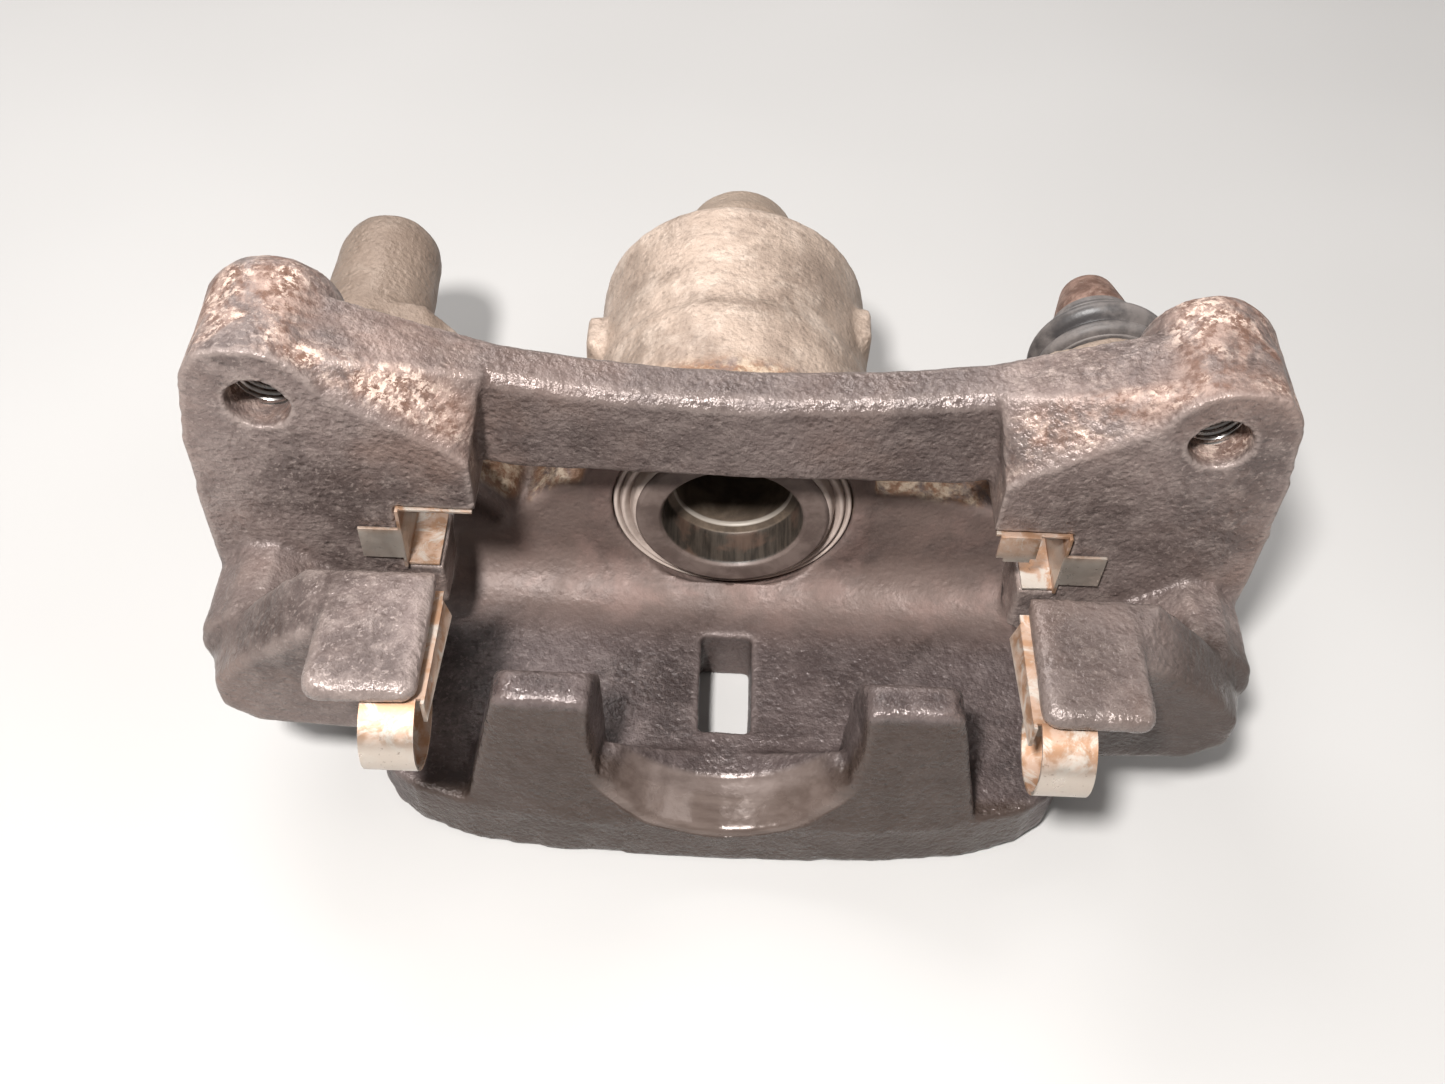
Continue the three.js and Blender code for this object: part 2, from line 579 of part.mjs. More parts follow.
inner.add(
  sub('bracket', makeBracket(), castIron()),
  sub('caliper_body', makeCaliperBody(), cylinderIron()),
  sub('piston', makePiston(), pinSteel()),
  sub('piston_seal', makePistonSeal(), rubber()),
  sub('dust_boot', makeDustBoot(), rubber()),
  sub('dust_boot_ring', makeBootRing(), pinSteel()),
  sub('bleeder_screw', makeBleederScrew(), pinSteel()),
  sub('bleeder_cap', makeBleederCap(), rubber()),
  sub('guide_pin', makeGuidePin(), pinSteel()),
  sub('guide_pin_washer', makePinWasher(), pinSteel()),
  sub('guide_pin_bush', makePinBush(), rubber()),
  sub('guide_pin_boot', makePinBoot(), rubber()),
  sub('lock_sleeve', makeLockSleeve(), pinSteel()),
  sub('lock_sleeve_bush', makeSleeveBush(), rubber()),
  sub('sleeve_boot_inboard', makeInboardSleeveBoot(), rubber()),
  sub('sleeve_boot_outboard', makeOutboardSleeveBoot(), rubber()),
  sub('clip_inboard_left', makeInboardClip(-1), clipSteel()),
  sub('clip_inboard_right', makeInboardClip(1), clipSteel()),
  sub('clip_outboard_left', makeOutboardClip(-1), clipSteel()),
  sub('clip_outboard_right', makeOutboardClip(1), clipSteel()),
);

// the clips' loops are foremost and the fluid inlet is rearmost
const foremost = -55 - CLIP_LOOP_R;
inner.position.y = -(foremost + INLET_END) / 2;
group.updateMatrixWorld(true);

export default group;
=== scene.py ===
"""Looks of the sliding brake caliper: cast, turned, strip-steel and rubber pieces round the CAD frame."""
import math

import bmesh
import bpy
import numpy as np
from mathutils import Matrix, Vector, noise


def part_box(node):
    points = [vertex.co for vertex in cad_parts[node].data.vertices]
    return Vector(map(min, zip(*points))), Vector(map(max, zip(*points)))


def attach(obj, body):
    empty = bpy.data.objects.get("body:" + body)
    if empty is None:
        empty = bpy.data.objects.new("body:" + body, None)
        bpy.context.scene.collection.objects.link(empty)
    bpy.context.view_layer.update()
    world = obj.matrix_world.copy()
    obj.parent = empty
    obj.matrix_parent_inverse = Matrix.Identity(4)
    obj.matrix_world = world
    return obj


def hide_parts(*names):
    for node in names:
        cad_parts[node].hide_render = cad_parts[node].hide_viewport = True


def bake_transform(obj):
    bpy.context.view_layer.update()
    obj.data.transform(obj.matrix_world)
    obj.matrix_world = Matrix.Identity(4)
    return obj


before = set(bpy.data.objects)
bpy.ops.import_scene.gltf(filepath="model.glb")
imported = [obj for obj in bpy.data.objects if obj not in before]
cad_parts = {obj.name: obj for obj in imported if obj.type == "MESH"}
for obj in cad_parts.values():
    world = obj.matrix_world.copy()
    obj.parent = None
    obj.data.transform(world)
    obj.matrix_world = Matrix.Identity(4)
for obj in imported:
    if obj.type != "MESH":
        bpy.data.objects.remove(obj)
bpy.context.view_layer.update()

MM = 0.001

# ---- driving places in metres: from the frame, or the same as in the CAD source ----
PISTON_LOW, PISTON_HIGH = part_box("piston")
AXIS_Z = (PISTON_LOW[2] + PISTON_HIGH[2]) / 2
PISTON_R = (PISTON_HIGH[0] - PISTON_LOW[0]) / 2
RIM_Y = PISTON_LOW[1]                   # the piston's rim plane; most places along y are counted from it
SLEEVE_LOW, SLEEVE_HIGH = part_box("lock_sleeve")
PIN_X = (SLEEVE_LOW[0] + SLEEVE_HIGH[0]) / 2
PIN_Z = (SLEEVE_LOW[2] + SLEEVE_HIGH[2]) / 2
EAR_X, EAR_Z = 0.080, 0.082             # tapped holes of the bracket
EAR_HOLE_R = 0.0054
EAR_BACK = RIM_Y + 0.008
PLATE_FRONT = RIM_Y - 0.017
NOTCH_X, NOTCH_Z = 0.054, 0.049         # middles of the pad notches in the bracket's plates
LOOP_RADII = (0.0083, 0.0077)           # outside and inside of the outboard clips' loops
LOOP_Y = RIM_Y - 0.055                  # the loops' axis runs along x
LOOP_Z = 0.0557 - LOOP_RADII[0]


# ---- mesh helpers ----
def shade_smooth(mesh):
    mesh.polygons.foreach_set("use_smooth", [True] * len(mesh.polygons))


def new_object(name, verts, faces):
    mesh = bpy.data.meshes.new(name)
    mesh.from_pydata([tuple(v) for v in verts], [], faces)
    mesh.update()
    shade_smooth(mesh)
    obj = bpy.data.objects.new(name, mesh)
    bpy.context.scene.collection.objects.link(obj)
    return obj


def copy_of_node(node, name):
    """A new object with a CAD node's mesh. The node itself is left alone."""
    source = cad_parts[node]
    mesh = source.data.copy()
    mesh.name = name
    mesh.materials.clear()
    obj = bpy.data.objects.new(name, mesh)
    obj.matrix_world = Matrix.Identity(4)
    bpy.context.scene.collection.objects.link(obj)
    weld(obj)
    return obj


def weld(obj, distance=1e-5):
    bm = bmesh.new()
    bm.from_mesh(obj.data)
    bmesh.ops.remove_doubles(bm, verts=bm.verts, dist=distance)
    bmesh.ops.recalc_face_normals(bm, faces=bm.faces)
    bm.to_mesh(obj.data)
    bm.free()


def bake_modifiers(obj):
    graph = bpy.context.evaluated_depsgraph_get()
    result = bpy.data.meshes.new_from_object(obj.evaluated_get(graph), depsgraph=graph)
    old = obj.data
    obj.modifiers.clear()
    obj.data = result
    if old.users == 0:
        bpy.data.meshes.remove(old)


def modify(obj, kind, **settings):
    modifier = obj.modifiers.new(kind.lower(), kind)
    for key, value in settings.items():
        setattr(modifier, key, value)
    bake_modifiers(obj)


def sharp_edges(obj, angle):
    """Marks the edges that turn by more than an angle in degrees, so that shading breaks there."""
    bm = bmesh.new()
    bm.from_mesh(obj.data)
    limit = math.radians(angle)
    for edge in bm.edges:
        if len(edge.link_faces) == 2 and edge.calc_face_angle(0.0) > limit:
            edge.smooth = False
    bm.to_mesh(obj.data)
    bm.free()


def points_of(obj):
    flat = np.empty(len(obj.data.vertices) * 3)
    obj.data.vertices.foreach_get("co", flat)
    return flat.reshape(-1, 3)


def set_points(obj, points):
    obj.data.vertices.foreach_set("co", np.ascontiguousarray(points).ravel())
    obj.data.update()


def normals_of(obj):
    flat = np.empty(len(obj.data.vertices) * 3)
    obj.data.vertices.foreach_get("normal", flat)
    return flat.reshape(-1, 3)


def relax(obj, rounds, weight):
    """Smooths a dense mesh by the weight that a function gives each point.
    A round moves in and then a little further out again, so edges round off and the volume stays."""
    edges = np.empty(len(obj.data.edges) * 2, dtype=np.int64)
    obj.data.edges.foreach_get("vertices", edges)
    a, b = edges.reshape(-1, 2).T
    points = points_of(obj)
    count = np.bincount(np.concatenate([a, b]), minlength=len(points))[:, None].astype(float)
    strength = weight(points)[:, None]
    for _ in range(rounds):
        for step in (0.5, -0.52):
            total = np.zeros_like(points)
            for axis in range(3):
                total[:, axis] += np.bincount(a, points[b, axis], minlength=len(points))
                total[:, axis] += np.bincount(b, points[a, axis], minlength=len(points))
            points = points + step * strength * (total / np.maximum(count, 1) - points)
    set_points(obj, points)


def lumps(points, size, seed):
    """Smooth noise from about -1 to 1, one value a point, with lumps of the given size in metres."""
    offset = Vector((seed * 3.17, seed * 5.71, seed * 1.93))
    return np.array([noise.noise(Vector(p) / size + offset) for p in points])


def roughen(obj, layers, weight=None):
    """Pushes a cast surface in and out: layers are (height, size, seed)."""
    points, normals = points_of(obj), normals_of(obj)
    push = np.zeros(len(points))
    for height, size, seed in layers:
        push += height * lumps(points, size, seed)
    if weight is not None:
        push *= weight(points)
    set_points(obj, points + normals * push[:, None])


def join_meshes(target, *others):
    """Adds the other objects' meshes to the target's, and removes those objects."""
    bm = bmesh.new()
    bm.from_mesh(target.data)
    for other in others:
        bm.from_mesh(other.data)
    bm.to_mesh(target.data)
    bm.free()
    for other in others:
        bpy.data.objects.remove(other, do_unlink=True)


def turned(name, profile, x=0.0, z=0.0, steps=96, closed=False):
    """A lathe piece on an axis along y. profile: (radius, y) in metres; a closed profile makes a ring."""
    verts, rings = [], []
    for radius, y in profile:
        if radius < 1e-7:
            verts.append((x, y, z))
            rings.append([len(verts) - 1] * steps)
            continue
        start = len(verts)
        for i in range(steps):
            turn = 2 * math.pi * i / steps
            verts.append((x + radius * math.cos(turn), y, z + radius * math.sin(turn)))
        rings.append(list(range(start, start + steps)))
    faces = []
    pairs = list(zip(rings, rings[1:]))
    if closed:
        pairs.append((rings[-1], rings[0]))
    for low, high in pairs:
        for i in range(steps):
            j = (i + 1) % steps
            corners = []
            for v in (low[i], low[j], high[j], high[i]):
                if v not in corners:
                    corners.append(v)
            if len(corners) > 2:
                faces.append(corners)
    obj = new_object(name, verts, faces)
    weld(obj, 1e-8)
    return obj


def rounded(profile, radius, steps=4, closed=False):
    """Rounds the corners of an outline of 2-D points with short curves."""
    count = len(profile)
    result = []
    for i, point in enumerate(profile):
        if not closed and i in (0, count - 1):
            result.append(tuple(point))
            continue
        here = np.array(point)
        before, after = np.array(profile[i - 1]), np.array(profile[(i + 1) % count])
        reach_in = min(radius, 0.45 * np.linalg.norm(before - here))
        reach_out = min(radius, 0.45 * np.linalg.norm(after - here))
        start = here + (before - here) / max(np.linalg.norm(before - here), 1e-9) * reach_in
        end = here + (after - here) / max(np.linalg.norm(after - here), 1e-9) * reach_out
        for k in range(steps + 1):
            t = k / steps
            result.append(tuple((1 - t) ** 2 * start + 2 * t * (1 - t) * here + t * t * end))
    return result


def from_rim(y):
    """A place along y, in millimetres behind the piston's rim plane, to metres in the frame."""
    return RIM_Y + y * MM


def mm(profile):
    """(radius, y) points in millimetres, with y behind the piston's rim plane, to metres in the frame."""
    return [(r * MM, from_rim(y)) for r, y in profile]


# ---- material helpers ----
class Nodes:
    """Short ways to write a node tree."""

    def __init__(self, name):
        self.material = bpy.data.materials.new(name)
        self.material.use_nodes = True
        self.tree = self.material.node_tree
        self.shader = next(n for n in self.tree.nodes if n.type == "BSDF_PRINCIPLED")
        self.place = self.add("ShaderNodeTexCoord").outputs["Object"]

    def add(self, kind, **values):
        node = self.tree.nodes.new(kind)
        for key, value in values.items():
            setattr(node, key, value)
        return node

    def link(self, a, b):
        self.tree.links.new(a, b)

    def put(self, socket, value):
        if isinstance(value, bpy.types.NodeSocket):
            self.link(value, socket)
        else:
            socket.default_value = value

    def noise(self, size, detail=3.0, rough=0.55, distortion=0.0, where=None):
        """Cloudy noise; size is the width of its blotches in metres."""
        node = self.add("ShaderNodeTexNoise")
        self.link(where or self.place, node.inputs["Vector"])
        node.inputs["Scale"].default_value = 1 / size
        node.inputs["Detail"].default_value = detail
        node.inputs["Roughness"].default_value = rough
        node.inputs["Distortion"].default_value = distortion
        return node.outputs["Fac"]

    def cells(self, size):
        """Distance to the nearest of scattered points that lie about size metres apart."""
        node = self.add("ShaderNodeTexVoronoi", feature="F1")
        self.link(self.place, node.inputs["Vector"])
        node.inputs["Scale"].default_value = 1 / size
        return node.outputs["Distance"]

    def fit(self, value, low, high, to_low=0.0, to_high=1.0):
        """Maps low..high to to_low..to_high with soft ends. With low above high, the mask falls."""
        node = self.add("ShaderNodeMapRange", interpolation_type="SMOOTHSTEP", clamp=True)
        self.put(node.inputs["Value"], value)
        for key, number in zip(("From Min", "From Max", "To Min", "To Max"), (low, high, to_low, to_high)):
            node.inputs[key].default_value = number
        return node.outputs["Result"]

    def math(self, operation, a, b=0.0):
        node = self.add("ShaderNodeMath", operation=operation)
        self.put(node.inputs[0], a)
        self.put(node.inputs[1], b)
        return node.outputs[0]

    def mix(self, share, a, b):
        node = self.add("ShaderNodeMix", data_type="RGBA")
        self.put(node.inputs["Factor"], share)
        self.put(node.inputs["A"], rgb(a) if isinstance(a, tuple) else a)
        self.put(node.inputs["B"], rgb(b) if isinstance(b, tuple) else b)
        return node.outputs["Result"]

    def spots(self, size, low, high, detail=3.0, rough=0.55, distortion=0.0, where=None):
        """Cloudy noise cut to a 0 to 1 mask with soft edges."""
        return self.fit(self.noise(size, detail, rough, distortion, where), low, high)

    def overlap(self, *masks):
        """The product of masks: 1 only where every one of them is 1."""
        result = masks[0]
        for mask in masks[1:]:
            result = self.math("MULTIPLY", result, mask)
        return result

    def tint(self, color, mask, strength, tone):
        """Lays a tone over a colour where the mask is 1, with the given strength."""
        return self.mix(self.math("MULTIPLY", mask, strength), color, tone)

    def axis(self, name):
        node = self.add("ShaderNodeSeparateXYZ")
        self.link(self.place, node.inputs[0])
        return node.outputs[name]

    def along(self, name, start, full):
        """A mask that is 0 before start and 1 past full, along X, Y or Z."""
        return self.fit(self.axis(name), start, full)

    def radius(self, z):
        """Distance from the axis that runs along y at x = 0 and height z."""
        across = self.add("ShaderNodeVectorMath", operation="MULTIPLY_ADD")
        self.link(self.place, across.inputs[0])
        across.inputs[1].default_value = (1, 0, 1)
        across.inputs[2].default_value = (0, 0, -z)
        length = self.add("ShaderNodeVectorMath", operation="LENGTH")
        self.link(across.outputs[0], length.inputs[0])
        return length.outputs["Value"]

    def stretched(self, scale):
        node = self.add("ShaderNodeMapping")
        self.link(self.place, node.inputs["Vector"])
        node.inputs["Scale"].default_value = scale
        return node.outputs[0]

    def wear(self, low, high):
        """1 on raised edges, 0 elsewhere."""
        node = self.add("ShaderNodeNewGeometry")
        return self.fit(node.outputs["Pointiness"], low, high)

    def bump(self, height, distance, strength=1.0, under=None):
        node = self.add("ShaderNodeBump")
        node.inputs["Distance"].default_value = distance
        node.inputs["Strength"].default_value = strength
        self.link(height, node.inputs["Height"])
        if under is not None:
            self.link(under, node.inputs["Normal"])
        return node.outputs["Normal"]

    def finish(self, color, rough, metallic=0.0, normal=None):
        self.put(self.shader.inputs["Base Color"], rgb(color) if isinstance(color, tuple) else color)
        self.put(self.shader.inputs["Roughness"], rough)
        self.put(self.shader.inputs["Metallic"], metallic)
        if normal is not None:
            self.link(normal, self.shader.inputs["Normal"])
        return self.material


def rgb(color):
    return (*color, 1.0) if len(color) == 3 else color


# ---- materials ----
def iron_base(n, dark, mid, pale, calm=None):
    """Greasy cast iron: cloudy stains, fine grain with pale specks that are also painted glints, worn edges.
    Gives colour, roughness and normal.
    Where calm is 1 the surface is machined, so its grain is faint."""
    grain = 0.0010
    color = n.mix(n.spots(0.020, 0.36, 0.64, 5.0, 0.62, 0.4), dark, mid)
    color = n.tint(color, n.spots(0.0040, 0.44, 0.66, 6.0, 0.75), 0.38, pale)
    # pale specks: fine grain, and also painted glints of sparkle
    color = n.tint(color, n.spots(0.00080, 0.58, 0.68, 2.0, 0.6), 0.45, pale)
    color = n.tint(color, n.wear(0.502, 0.53), 0.45, pale)
    color = n.tint(color, n.wear(0.497, 0.47), 0.55, dark)
    rough = n.fit(n.noise(0.011, 4.0, 0.62), 0.32, 0.68, 0.30, 0.54)
    pits = n.math("MULTIPLY", n.fit(n.cells(grain * 1.9), 0.0, 0.5), 0.4)
    grains = n.math("ADD", n.noise(grain, 3.0, 0.6), pits)
    waves = n.noise(0.005, 3.0)
    if calm is not None:
        active = n.fit(calm, 0.0, 1.0, 1.0, 0.12)
        grains = n.math("MULTIPLY", grains, active)
        waves = n.math("MULTIPLY", waves, active)
    normal = n.bump(grains, 0.00042, 0.9)
    normal = n.bump(waves, 0.0006, 0.4, normal)
    return color, rough, normal


def rust_over(n, color, rough, where):
    """Brown rust with flecks of pale scale, laid over a colour by a 0 to 1 place mask."""
    deep, light, scale = (0.150, 0.080, 0.056), (0.335, 0.235, 0.195), (0.64, 0.49, 0.41)
    share = n.overlap(where, n.spots(0.010, 0.36, 0.58, 6.0, 0.7, 0.5))
    rust = n.mix(n.spots(0.003, 0.42, 0.60, 5.0, 0.72), deep, light)
    flakes = n.overlap(n.spots(0.0016, 0.49, 0.57, 5.0, 0.75, 0.3), n.spots(0.008, 0.38, 0.60))
    color = n.mix(share, color, n.mix(flakes, rust, scale))
    rough = n.math("ADD", rough, n.math("MULTIPLY", share, 0.16))
    return color, rough


def bracket_iron():
    n = Nodes("bracket_iron")
    color, rough, normal = iron_base(n, (0.092, 0.068, 0.062), (0.178, 0.136, 0.124), (0.350, 0.285, 0.258))
    color = n.tint(color, n.spots(0.028, 0.46, 0.70, 4.0, 0.6), 0.45, (0.230, 0.150, 0.120))
    side = n.math("ABSOLUTE", n.axis("X"))
    beam = n.overlap(n.fit(side, 0.050, 0.040), n.along("Z", 0.0545, 0.0560))
    color = n.tint(color, beam, 0.36, (0.062, 0.046, 0.043))
    # painted shade darkens the arms outside the outboard lips, most of all the right one
    arms = n.overlap(
        n.along("Y", PLATE_FRONT - 0.006, PLATE_FRONT - 0.016), n.along("Z", 0.0575, 0.0520),
        n.fit(side, 0.064, 0.069), n.fit(n.axis("X"), -0.010, 0.010, 0.30, 0.72))
    color = n.mix(arms, color, (0.036, 0.024, 0.018))
    # painted shade: the right outboard lip is darker than the left; both lips are glossy on top
    right_lip = n.overlap(
        n.along("Y", PLATE_FRONT - 0.012, PLATE_FRONT - 0.016), n.along("X", 0.040, 0.048))
    color = n.tint(color, right_lip, 0.42, (0.055, 0.040, 0.035))
    lip_tops = n.overlap(
        n.along("Y", PLATE_FRONT - 0.014, PLATE_FRONT - 0.016), n.along("Z", 0.0550, 0.0570))
    glossy = n.math("MAXIMUM", beam, n.math("MAXIMUM", lip_tops, arms))
    rough = n.math("SUBTRACT", rough, n.math("MULTIPLY", glossy, 0.10))
    # rust gathers on the ears and gussets, and just behind the plates' front edges
    upper = n.fit(n.math("ADD", n.axis("Z"), n.math("MULTIPLY", side, -0.42)), 0.037, 0.047)
    outer = n.fit(side, 0.040, 0.052)
    behind = n.along("Y", PLATE_FRONT - 0.0002, PLATE_FRONT + 0.0030)
    front_band = n.fit(n.axis("Y"), PLATE_FRONT + 0.0080, PLATE_FRONT + 0.0045, 0.18, 1.0)
    band = n.math("MAXIMUM", front_band, n.fit(side, 0.068, 0.076))
    color, rough = rust_over(n, color, rough, n.overlap(upper, outer, behind, band))
    return n.finish(color, rough, 0.25, normal)


def scoured_tan_and_painted_light(n):
    """Pale tan metal with dark stains, for the cylinder; its pale patches are partly a painted highlight. Its
    nose and the left boss are darker, and its right is darker as painted shade.
    """
    tan = n.mix(n.spots(0.024, 0.32, 0.64, 4.0, 0.58, 0.5), (0.225, 0.166, 0.130), (0.455, 0.352, 0.284))
    # pale patches: partly pale scouring, partly a painted highlight
    tan = n.tint(tan, n.spots(0.0100, 0.46, 0.72, 5.0, 0.65, 0.3), 0.55, (0.660, 0.545, 0.460))
    tan = n.tint(tan, n.spots(0.0012, 0.52, 0.66, 3.0, 0.6), 0.35, (0.145, 0.110, 0.088))
    nose = n.along("Y", RIM_Y + 0.070, RIM_Y + 0.072)
    tan = n.tint(tan, nose, 0.7, (0.250, 0.190, 0.145))
    left_boss = n.along("X", -0.055, -0.064)
    tan = n.tint(tan, left_boss, 0.72, (0.165, 0.118, 0.088))
    # painted shade: the right of the cylinder, away from the light, is darker
    shaded_right = n.along("X", 0.006, 0.030)
    return n.tint(tan, shaded_right, 0.45, (0.190, 0.142, 0.108))


def body_iron():
    n = Nodes("body_iron")
    scoop = n.overlap(
        n.along("Y", RIM_Y - 0.0425, RIM_Y - 0.0445), n.fit(n.radius(AXIS_Z), 0.0280, 0.0270),
        n.along("Z", 0.0260, 0.0200))
    sweep = n.overlap(n.along("Y", RIM_Y - 0.013, RIM_Y - 0.008), n.along("Y", RIM_Y + 0.006, RIM_Y + 0.004))
    color, rough, normal = iron_base(
        n, (0.044, 0.032, 0.030), (0.086, 0.064, 0.061), (0.185, 0.147, 0.138),
        calm=n.math("MAXIMUM", scoop, n.math("MULTIPLY", sweep, 0.6)))
    # thin brown-red rust on the leg, dying out across the bridge
    leg = n.along("Y", RIM_Y - 0.016, RIM_Y - 0.001)
    brown = n.overlap(leg, n.fit(n.noise(0.020, 5.0, 0.60, 0.3), 0.28, 0.56, 0.35, 1.0))
    color = n.tint(color, brown, 0.9, (0.160, 0.114, 0.098))
    pink = n.overlap(leg, n.spots(0.014, 0.44, 0.66, 6.0, 0.70, 0.2, n.stretched((1, 1.3, 0.8))))
    color = n.tint(color, pink, 0.4, (0.280, 0.186, 0.162))
    rough = n.math("ADD", rough, n.math("MULTIPLY", leg, 0.20))
    # orange rust and pale scale on the leg's crest, whose pale patches are also a painted highlight on its
    # top
    crest = n.overlap(
        n.along("Z", 0.0345, 0.0375), n.along("Y", RIM_Y + 0.0035, RIM_Y + 0.0050),
        n.spots(0.007, 0.36, 0.52, 5.0, 0.7, 0.3))
    scale = n.mix(n.spots(0.0040, 0.42, 0.60, 4.0, 0.7), (0.240, 0.130, 0.075), (0.520, 0.405, 0.300))
    color = n.mix(crest, color, scale)
    # the fingers' front is greasy and glossy, and darkened partly by grease and partly as painted shade;
    # their tips are glossy
    oil_and_shade = n.overlap(n.along("Y", RIM_Y - 0.0455, RIM_Y - 0.0485), n.along("Z", 0.0435, 0.0415))
    color = n.tint(color, oil_and_shade, 0.75, (0.044, 0.028, 0.020))
    tips = n.overlap(n.along("Y", RIM_Y - 0.034, RIM_Y - 0.036), n.along("Z", 0.0405, 0.0425))
    rough = n.math("SUBTRACT", rough, n.math("MULTIPLY", n.math("MAXIMUM", tips, oil_and_shade), 0.17))
    # the round scoop between the fingers is machined: smoother and browner
    streaks = n.spots(0.0030, 0.3, 0.7, 4.0, 0.6, 0.0, n.stretched((0.15, 1, 1)))
    color = n.tint(color, scoop, 0.8, n.mix(streaks, (0.105, 0.076, 0.064), (0.180, 0.138, 0.120)))
    cylinder = n.along("Y", RIM_Y + 0.012, RIM_Y + 0.018)
    color = n.mix(cylinder, color, scoured_tan_and_painted_light(n))
    rough = n.math("SUBTRACT", rough, n.math("MULTIPLY", cylinder, 0.08))
    return n.finish(color, rough, 0.25, normal)


def lathe_lines(n):
    """The normal of the fine rings that a lathe leaves round an axis along y."""
    rings = n.noise(0.0007, 2.0, 0.6, where=n.stretched((0.10, 1.0, 0.10)))
    return n.bump(rings, 0.00004, 0.6)


def turned_steel(name, light, dark, rough_low=0.22, rough_high=0.42, metal=0.85):
    """Lathe-turned steel, stained."""
    n = Nodes(name)
    color = n.mix(n.spots(0.008, 0.36, 0.66, 5.0, 0.62, 0.3), dark, light)
    rough = n.fit(n.noise(0.004, 4.0), 0.3, 0.7, rough_low, rough_high)
    return n.finish(color, rough, metal, lathe_lines(n))


def piston_steel():
    """A dull brown rim and outside; the cup wall is brushed and the deep part is stained."""
    n = Nodes("piston_steel")
    stains = n.spots(0.006, 0.36, 0.66, 5.0, 0.65, 0.3)
    rim = n.mix(stains, (0.098, 0.070, 0.060), (0.165, 0.124, 0.108))
    streaks = n.spots(0.0011, 0.34, 0.66, 4.0, 0.65, where=n.stretched((1.0, 0.10, 1.0)))
    wall = n.mix(streaks, (0.022, 0.017, 0.013), (0.058, 0.045, 0.035))
    wall = n.tint(wall, n.spots(0.007, 0.50, 0.64, 4.0), 0.5, (0.120, 0.070, 0.050))
    deep = n.mix(stains, (0.075, 0.055, 0.040), (0.150, 0.112, 0.082))
    reach = n.radius(AXIS_Z)
    inside = n.fit(reach, 0.0141, 0.0138)
    color = n.mix(inside, rim, wall)
    color = n.mix(n.overlap(inside, n.along("Y", RIM_Y + 0.0080, RIM_Y + 0.0084)), color, deep)
    # painted highlight: a thin bright ring where the cup narrows past its step
    ledge_highlight = n.overlap(
        n.along("Y", RIM_Y + 0.0084, RIM_Y + 0.0086), n.along("Y", RIM_Y + 0.0100, RIM_Y + 0.0096),
        n.fit(reach, 0.0122, 0.0120), inside)
    color = n.tint(color, ledge_highlight, 0.85, (0.34, 0.30, 0.26))
    rough = n.fit(n.noise(0.004, 4.0), 0.3, 0.7, 0.46, 0.62)
    return n.finish(color, rough, 0.15, lathe_lines(n))


def rusty_steel():
    n = Nodes("rusty_steel")
    color = n.mix(n.spots(0.004, 0.38, 0.64, 5.0, 0.7, 0.4), (0.120, 0.064, 0.046), (0.265, 0.165, 0.128))
    color = n.tint(color, n.spots(0.0015, 0.55, 0.7, 4.0, 0.7), 0.4, (0.36, 0.27, 0.22))
    normal = n.bump(n.noise(0.0008, 4.0, 0.7), 0.00018, 0.8)
    return n.finish(color, 0.55, 0.35, normal)


def clip_steel():
    """Spring steel strip: bright where it bends, copper-brown and pink stains on the flats."""
    n = Nodes("clip_steel")
    heat = n.spots(0.0055, 0.37, 0.52, 6.0, 0.70, 0.8)
    flats = n.math("MAXIMUM", n.along("Z", 0.0500, 0.0535), n.along("Z", 0.0440, 0.0424))
    where = n.math("ADD", n.math("MULTIPLY", flats, 0.85), 0.10)
    stain = n.mix(n.spots(0.0030, 0.42, 0.60, 4.0), (0.400, 0.225, 0.130), (0.500, 0.350, 0.265))
    color = n.mix(n.overlap(where, heat), (0.560, 0.500, 0.440), stain)
    color = n.tint(color, n.spots(0.0010, 0.60, 0.72, 4.0, 0.7), 0.55, (0.150, 0.095, 0.068))
    scratches = n.noise(0.0012, 3.0, 0.6, where=n.stretched((0.15, 1.0, 1.0)))
    normal = n.bump(scratches, 0.00005, 0.5)
    dull = n.math("MULTIPLY", where, 0.25)
    rough = n.math("ADD", n.fit(n.noise(0.003, 4.0), 0.3, 0.7, 0.24, 0.46), dull)
    return n.finish(color, rough, 0.72, normal)


def rubber(name, base, dust, ridge):
    """Dark rubber under a film of grey brake dust, thickest on the folds."""
    n = Nodes(name)
    film = n.spots(0.006, 0.34, 0.66, 5.0, 0.65)
    color = n.tint(base, film, 0.65, dust)
    color = n.tint(color, n.wear(0.505, 0.56), 0.55, ridge)
    color = n.tint(color, n.wear(0.495, 0.44), 0.8, (0.016, 0.014, 0.014))
    normal = n.bump(n.noise(0.0006, 3.0, 0.6), 0.00008, 0.5)
    return n.finish(color, n.fit(film, 0.0, 1.0, 0.42, 0.64), 0.0, normal)


MATERIALS = {
    "bracket_iron": bracket_iron(),
    "body_iron": body_iron(),
    "piston_steel": piston_steel(),
    "pin_steel": turned_steel("pin_steel", (0.42, 0.39, 0.35), (0.20, 0.165, 0.14)),
    "thread_steel": turned_steel("thread_steel", (0.62, 0.60, 0.58), (0.38, 0.35, 0.33), 0.2, 0.35, 0.95),
    "rusty_steel": rusty_steel(),
    "clip_steel": clip_steel(),
    "rubber": rubber("rubber", (0.040, 0.036, 0.036), (0.185, 0.160, 0.148), (0.300, 0.262, 0.240)),
    "dusty_rubber": rubber(
        "dusty_rubber", (0.330, 0.262, 0.228), (0.500, 0.415, 0.365), (0.640, 0.540, 0.480)),
}


def dress(obj, *names):
    obj.data.materials.clear()
    for name in names:
        obj.data.materials.append(MATERIALS[name])


def place(obj, body, node):
    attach(obj, body)
    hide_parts(node)


